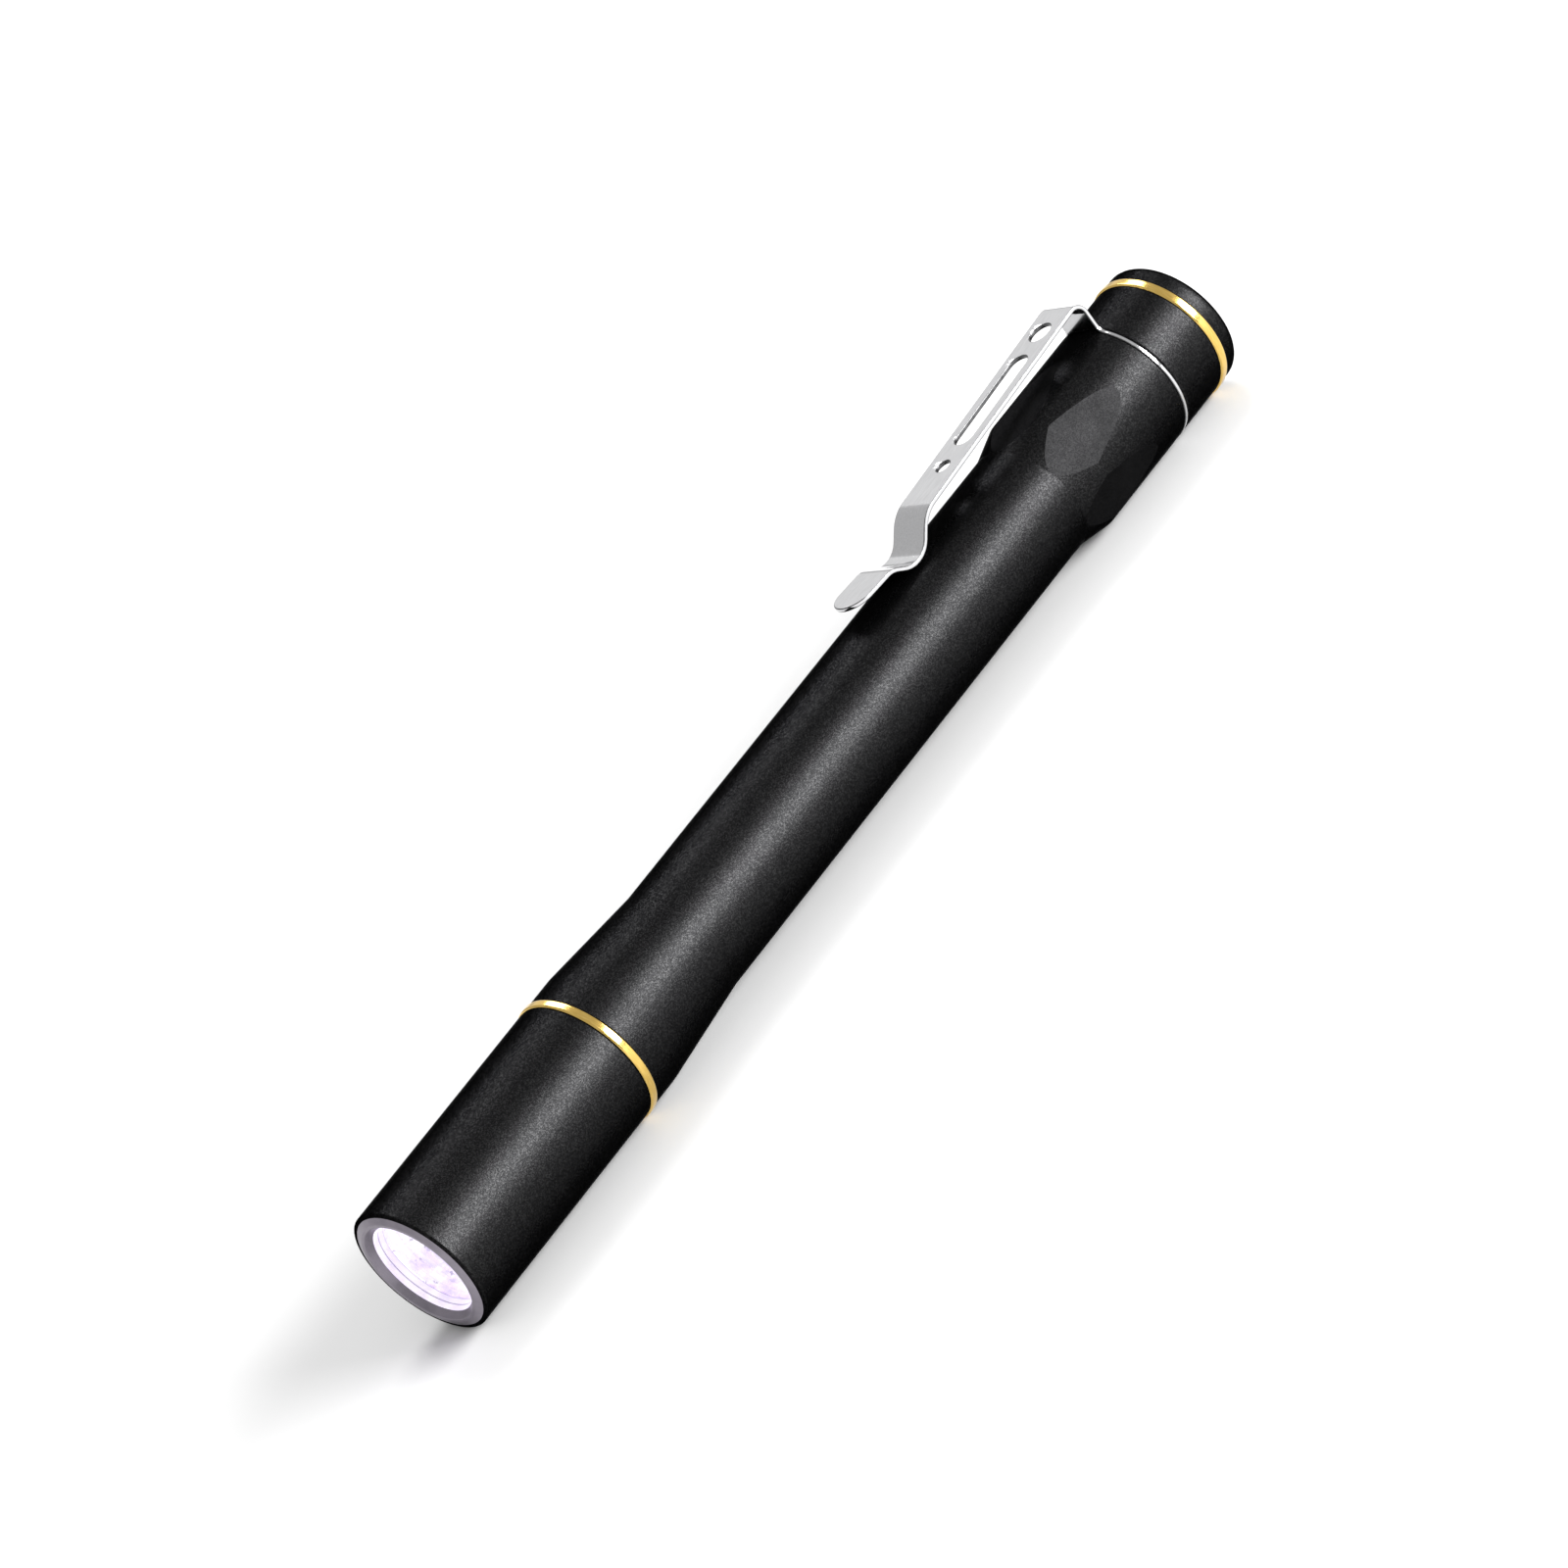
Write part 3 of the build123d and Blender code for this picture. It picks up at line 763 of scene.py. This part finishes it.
def clip_path(ring_middle, half):
    """Middle line of the bent strip as (x, height above the axis) points."""
    tip_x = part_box("clip_arm")[0].x
    tube_end = span("battery_tube")[1]
    corners = [
        (ring_middle, BODY_RADIUS + 0.9 * MM),
        (ring_middle, CLIP_TOP),
        (tube_end + CLIP_KNEE[0], CLIP_KNEE[1]),
        (tube_end + CLIP_FOOT[0], CLIP_FOOT[1]),
        (tube_end + CLIP_LIFT[0], CLIP_LIFT[1]),
        (tip_x, CLIP_TIP_HEIGHT),
    ]
    path = [corners[0]]
    for index, radius in CLIP_BENDS.items():
        before, corner, after = corners[index - 1 : index + 2]
        turn = (Vector(corner) - Vector(before)).angle(Vector(after) - Vector(corner))
        steps = max(4, ceil(degrees(turn) / BEND_STEP))
        path += [tuple(point) for point in corner_arc(before, corner, after, radius, steps)]
    path.append(corners[-1])
    return close_rows_at_tip(with_short_runs(path), half)


def with_short_runs(path):
    """Path with points added, so that no run is longer than LONGEST_RUN."""
    points = [path[0]]
    for here, there in zip(path, path[1:]):
        step_x = there[0] - here[0]
        step_z = there[1] - here[1]
        pieces = max(1, ceil(hypot(step_x, step_z) / LONGEST_RUN))
        for step in range(1, pieces + 1):
            share = step / pieces
            points.append((here[0] + step_x * share, here[1] + step_z * share))
    return points


def close_rows_at_tip(path, half):
    """Respace the points of the last half width, so that the tip's half circle is smooth."""
    tip = Vector(path[-1])
    back = (Vector(path[-2]) - tip).normalized()
    points = [point for point in path if (Vector(point) - tip).length > 1.05 * half]
    for step in range(TIP_STEPS + 1):
        turn = pi / 2 * step / TIP_STEPS
        points.append(tuple(tip + back * half * (1 - sin(turn))))
    return points


def strip_half_width(distance_to_tip, half):
    """The tip is a half circle in plan, cut off square at its very end."""
    if distance_to_tip >= half:
        return half
    across = sqrt(max(0.0, half**2 - (half - distance_to_tip) ** 2))
    return max(TIP_END_HALF_WIDTH, across)


def strip_rows(shape, path, half, sheet):
    """One four-cornered cross-section of the strip at each point of its path."""
    tip_x = path[-1][0]
    rows = []
    for index, (x, height) in enumerate(path):
        before = Vector(path[max(0, index - 1)])
        after = Vector(path[min(len(path) - 1, index + 1)])
        run = (after - before).normalized()
        out = Vector((run.y, -run.x)) * sheet / 2
        width = strip_half_width(x - tip_x, half)
        row = []
        for side, y in ((1, -width), (1, width), (-1, width), (-1, -width)):
            place = (x + side * out.x, y, AXIS_HEIGHT + height + side * out.y)
            row.append(shape.verts.new(place))
        rows.append(row)
    return rows


def ring_outline(half, top):
    """Right half of the ring's outer edge, from the strip's side down to the bottom."""
    fillet_steps = 8
    round_steps = 90
    centre_y = half + CLIP_RING_FILLET
    centre_z = sqrt((BODY_RADIUS + CLIP_RING_FILLET) ** 2 - centre_y**2)
    touch = atan2(centre_z, centre_y)
    points = [(half, (top + centre_z) / 2)]
    for step in range(fillet_steps + 1):
        angle = pi + touch * step / fillet_steps
        y = centre_y + CLIP_RING_FILLET * cos(angle)
        z = centre_z + CLIP_RING_FILLET * sin(angle)
        points.append((y, z))
    for step in range(1, round_steps):
        angle = touch - (touch + pi / 2) * step / round_steps
        points.append((BODY_RADIUS * cos(angle), BODY_RADIUS * sin(angle)))
    return points


def add_clip_ring(shape, half, top, near_x, far_x):
    """Ring with a root as wide as the strip, open where the strip's first row meets it."""
    right = ring_outline(half, top)
    outline = [(-half, top), (half, top)] + right
    outline += [(0.0, -BODY_RADIUS)] + [(-y, z) for y, z in reversed(right)]
    outer = {}
    inner = {}
    for x in (near_x, far_x):
        outer[x] = [shape.verts.new((x, y, AXIS_HEIGHT + z)) for y, z in outline]
        inner[x] = []
        for y, z in outline:
            share = CLIP_RING_BORE / hypot(y, z)
            inner[x].append(shape.verts.new((x, share * y, AXIS_HEIGHT + share * z)))
        bridge(shape, outer[x], inner[x])
    bridge(shape, inner[near_x], inner[far_x])
    for index in range(1, len(outline)):
        follow = (index + 1) % len(outline)
        near = (outer[near_x][index], outer[near_x][follow])
        far = (outer[far_x][follow], outer[far_x][index])
        shape.faces.new(near + far)


def bar_cutter(start, end, radius):
    """Upright prism with round ends, through the strip but not down to the tube."""
    steps = 24
    bottom = AXIS_HEIGHT + 8.4 * MM
    top = AXIS_HEIGHT + 12 * MM
    points = []
    for centre, first in ((start, pi / 2), (end, -pi / 2)):
        for step in range(steps + 1):
            angle = first + pi * step / steps
            points.append((centre + radius * cos(angle), radius * sin(angle)))
    shape = bmesh.new()
    low = [shape.verts.new((x, y, bottom)) for x, y in points]
    high = [shape.verts.new((x, y, top)) for x, y in points]
    bridge(shape, low, high)
    shape.faces.new(low[::-1])
    shape.faces.new(high)
    bmesh.ops.remove_doubles(shape, verts=shape.verts, dist=0.001 * MM)
    cutter = to_piece(shape, "cutter")
    # The hole walls take the dark edge material: painted shade inside the holes.
    cutter.data.materials.append(PAINTED_SHADE)
    return cutter


def round_edges(piece):
    """Round the strip's edges with the painted dark edge finish, and even out the shading of its
    faces.
    """
    bevel = piece.modifiers.new("edges", "BEVEL")
    bevel.width = CLIP_EDGE_ROUND
    # The bevels take material 1, the dark edge material: painted dark outlines.
    bevel.material = 1
    bevel.segments = 3
    bevel.loop_slide = False
    bevel.limit_method = "ANGLE"
    bevel.angle_limit = radians(50)
    bevel.use_clamp_overlap = False
    apply_modifiers(piece)
    shade(piece, 40)
    even = piece.modifiers.new("even_shading", "WEIGHTED_NORMAL")
    even.keep_sharp = True
    apply_modifiers(piece)


def make_clip():
    """Ring and strip in one piece, punched."""
    arm_low, arm_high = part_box("clip_arm")
    ring_low, ring_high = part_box("clip_ring")
    tube_end = span("battery_tube")[1]
    half = (arm_high.y - arm_low.y) / 2
    path = clip_path((ring_low.x + ring_high.x) / 2, half)
    shape = bmesh.new()
    rows = strip_rows(shape, path, half, ring_high.x - ring_low.x)
    for row_a, row_b in zip(rows, rows[1:]):
        bridge(shape, row_a, row_b)
    shape.faces.new(rows[-1])
    add_clip_ring(shape, half, path[0][1], ring_low.x, ring_high.x)
    bmesh.ops.remove_doubles(shape, verts=shape.verts, dist=0.002 * MM)
    piece = to_piece(shape, "pocket_clip")
    piece.data.materials.append(STEEL)
    # Second material: painted shade for the hole walls and painted dark outlines on the bevels.
    piece.data.materials.append(PAINTED_SHADE)
    cut(piece, [bar_cutter(tube_end + first, tube_end + last, r) for first, last, r in CLIP_HOLES])
    round_edges(piece)
    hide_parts("clip_ring", "clip_arm")
    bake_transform(piece)
    return piece


# ---------------------------------------------------------------------------
# Tail
# ---------------------------------------------------------------------------
BUTTON_RADIUS = 4.3 * MM
DOME_STEPS = 24
DOME_FULLNESS = 0.62
DOME_RISE = 1.15


def make_cap():
    """Cap with a threaded neck, a groove for its seal and a bore for the switch."""
    start, end, radius = span("tail_cap")
    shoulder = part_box("clip_ring")[1].x + 0.05 * MM
    trim_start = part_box("rear_trim_ring")[0].x
    bore = 5.3 * MM
    root = 6.02 * MM
    plain_radius = 6.4 * MM
    groove = (shoulder - 1.65 * MM, shoulder - 0.85 * MM)
    outline = [
        (start, bore),
        (start, root),
        (groove[0] - 0.25 * MM, root),
        (groove[0] - 0.25 * MM, plain_radius),
        (groove[0], plain_radius),
        (groove[0], 5.7 * MM),
        (groove[1], 5.7 * MM),
        (groove[1], plain_radius),
        (shoulder, plain_radius),
        (shoulder, radius),
        (trim_start, radius),
        (trim_start, 6.6 * MM),
        (end, 6.6 * MM),
        (end, 5.6 * MM),
        (end - 2.5 * MM, 5.6 * MM),
        (end - 2.5 * MM, 4.7 * MM),
        (end - 3.3 * MM, 4.7 * MM),
        (end - 3.3 * MM, bore),
    ]
    piece = lathe("tail_cap_turned", soften(outline, {1: 0.15 * MM, 9: 0.25 * MM, 10: 0.1 * MM}))
    piece.data.materials.append(BLACK)
    thread = helical_ridge("cap_thread", start + 0.2 * MM, 4.4, root, plain_radius)
    join([piece, thread])
    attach(piece, "cap")
    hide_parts("tail_cap")
    return piece


def make_end_ring():
    start, end, radius = span("tail_end_ring")
    mouth = BUTTON_RADIUS + 0.08 * MM
    spigot_end = span("tail_cap")[1]
    spigot = 6.6 * MM
    outline = [
        (start, spigot),
        (start, radius),
        (end, radius),
        (end, mouth),
        (spigot_end, mouth),
        (spigot_end, spigot),
    ]
    piece = lathe("tail_end_ring_turned", soften(outline, {1: 0.1 * MM, 2: 0.95 * MM, 3: 0.2 * MM}))
    return finish_piece(piece, "cap", BLACK, "anodised_black", "tail_end_ring")


def make_button():
    """Domed button with a boss and a flange that the end ring holds in."""
    start, end, flange = span("tail_button")
    boss = 3.0 * MM
    edge = end - 1.8 * MM
    flange_end = span("tail_cap")[1] - 0.08 * MM
    flange_start = flange_end - 0.67 * MM
    crown = []
    for step in range(DOME_STEPS):
        angle = pi / 2 * step / DOME_STEPS
        rise = (end - edge) * sin(angle) ** DOME_RISE
        crown.append((edge + rise, BUTTON_RADIUS * cos(angle) ** DOME_FULLNESS))
    outline = [
        (start, 0),
        (start, boss),
        (flange_start, boss),
        (flange_start, flange),
        (flange_end, flange),
        (flange_end, BUTTON_RADIUS),
        *crown,
        (end, 0),
    ]
    piece = lathe("tail_button_domed", outline, closed=False)
    return finish_piece(piece, "button", button_polish(), "button_steel", "tail_button")


# ---------------------------------------------------------------------------
# Inner pieces: they keep their CAD shape and get their own finish
# ---------------------------------------------------------------------------
def dress(node, material):
    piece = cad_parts[node]
    if not piece.material_slots:
        piece.data.materials.append(material)
    for slot in piece.material_slots:
        slot.material = material


def dress_inner_pieces():
    brass = plain("turned_brass", (0.58, 0.42, 0.17), (0.72, 0.55, 0.26), 0.28, 700, metallic=1.0)
    board = plain("board_green", (0.015, 0.12, 0.045), (0.03, 0.18, 0.07), 0.35, 500)
    rubber = plain("seal_rubber", (0.012, 0.012, 0.012), (0.022, 0.022, 0.022), 0.6, 900)
    nylon = plain("white_nylon", (0.72, 0.71, 0.7), (0.82, 0.81, 0.8), 0.45, 600)
    plated = plain("plated_wire", (0.68, 0.5, 0.2), (0.85, 0.66, 0.33), 0.2, 900, metallic=1.0)
    steel_wire = plain("steel_wire", (0.45, 0.45, 0.46), (0.6, 0.6, 0.61), 0.25, 900, metallic=1.0)
    moulded = plain("switch_moulding", (0.018, 0.018, 0.019), (0.03, 0.03, 0.031), 0.5, 600)
    can = plain("cell_can", (0.55, 0.55, 0.56), (0.7, 0.7, 0.71), 0.3, 500, metallic=1.0)
    mask = plain("board_white", (0.7, 0.7, 0.7), (0.82, 0.82, 0.82), 0.35, 600)
    chip = plain("chip_black", (0.012, 0.012, 0.013), (0.025, 0.025, 0.026), 0.45, 900)
    lead = plain("lead_red", (0.35, 0.015, 0.012), (0.5, 0.03, 0.025), 0.4, 700)
    label = cell_label()
    finishes = {
        "led_emitter": led_light(),
        "led_centring_ring": nylon,
        "led_board": mask,
        "led_holder": brass,
        "led_wires": lead,
        "driver_board": board,
        "driver_components": chip,
        "front_contact_spring": plated,
        "head_seal": rubber,
        "front_cell": can,
        "front_cell_sleeve": label,
        "rear_cell": can,
        "rear_cell_sleeve": label,
        "tail_seal": rubber,
        "switch_body": moulded,
        "switch_plunger": nylon,
        "switch_board": board,
        "switch_retainer": brass,
        "rear_contact_spring": plated,
    }
    for node, material in finishes.items():
        dress(node, material)
    make_yielding("switch_boot_moulded", "switch_boot", rubber)
    make_yielding("switch_spring_wound", "switch_spring", steel_wire)


def make_yielding(name, node, material):
    """Inner piece between the cap and the button, copied from its CAD node."""
    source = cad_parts[node]
    mesh = source.data.copy()
    mesh.transform(source.matrix_world)
    piece = link(name, mesh)
    piece.data.materials.clear()
    piece.data.materials.append(material)
    shade(piece)
    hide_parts(node)
    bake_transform(piece)


# ---------------------------------------------------------------------------
# Camera, light and floor
# ---------------------------------------------------------------------------
VIEW_AZIMUTH = radians(-31.5)
VIEW_ELEVATION = radians(24.4)
VIEW_ROLL = radians(37.3)
VIEW_DISTANCE = 0.687
VIEW_AIM = Vector((-2.82, 2.22, 8.17)) * MM
FOCAL_LENGTH = 168.75


def direction(azimuth, elevation):
    """Unit vector from the pen towards a place seen at that azimuth and elevation."""
    return Vector((sin(azimuth) * cos(elevation), -cos(azimuth) * cos(elevation), sin(elevation)))


def make_camera():
    lens = bpy.data.cameras.new("camera")
    lens.lens = FOCAL_LENGTH
    lens.sensor_width = 36
    lens.clip_start = 0.01
    camera = bpy.data.objects.new("camera", lens)
    bpy.context.scene.collection.objects.link(camera)
    back = direction(VIEW_AZIMUTH, VIEW_ELEVATION)
    upright = back.to_track_quat("Z", "Y")
    camera.rotation_mode = "QUATERNION"
    camera.rotation_quaternion = upright @ Quaternion((0, 0, 1), -VIEW_ROLL)
    camera.location = VIEW_AIM + back * VIEW_DISTANCE
    bpy.context.scene.camera = camera


def make_floor():
    reach = 6.0
    mesh = bpy.data.meshes.new("floor")
    corners = [(-reach, -reach, 0), (reach, -reach, 0), (reach, reach, 0), (-reach, reach, 0)]
    mesh.from_pydata(corners, [], [(0, 1, 2, 3)])
    floor = link("floor", mesh)
    floor.data.materials.append(floor_finish())


def softbox(name, azimuth, elevation, distance, width, height, radiance):
    """Rectangular area light that faces the pen; angles are in degrees."""
    light = bpy.data.lights.new(name, "AREA")
    light.shape = "RECTANGLE"
    light.size = width
    light.size_y = height
    light.energy = radiance * width * height * pi
    lamp = bpy.data.objects.new(name, light)
    bpy.context.scene.collection.objects.link(lamp)
    away = direction(radians(azimuth), radians(elevation))
    lamp.location = away * distance
    lamp.rotation_mode = "QUATERNION"
    lamp.rotation_quaternion = away.to_track_quat("Z", "Y")
    lamp.visible_camera = False


def make_light():
    softbox("key_softbox", 31, 21, 1.0, 0.8, 0.42, 25.0)
    softbox("back_softbox", 133, 50, 1.1, 0.6, 0.5, 8.5)
    softbox("rear_softbox", 150, 22, 1.2, 0.7, 0.5, 0.35)
    world = bpy.data.worlds.new("studio")
    bpy.context.scene.world = world
    world.use_nodes = True
    backdrop = world.node_tree.nodes["Background"]
    backdrop.inputs["Color"].default_value = (1, 1, 1, 1)
    backdrop.inputs["Strength"].default_value = 0.62
    bpy.context.scene.view_settings.view_transform = "Standard"


# ---------------------------------------------------------------------------
# Build
# ---------------------------------------------------------------------------
make_camera()
make_floor()
make_light()
make_head_shell()
make_bezel()
make_gasket()
make_lens()
make_reflector()
make_trim("front_trim_ring_polished", "front_trim_ring", "torch")
make_tube()
make_clip()
make_cap()
make_trim("rear_trim_ring_polished", "rear_trim_ring", "cap")
make_end_ring()
make_button()
dress_inner_pieces()
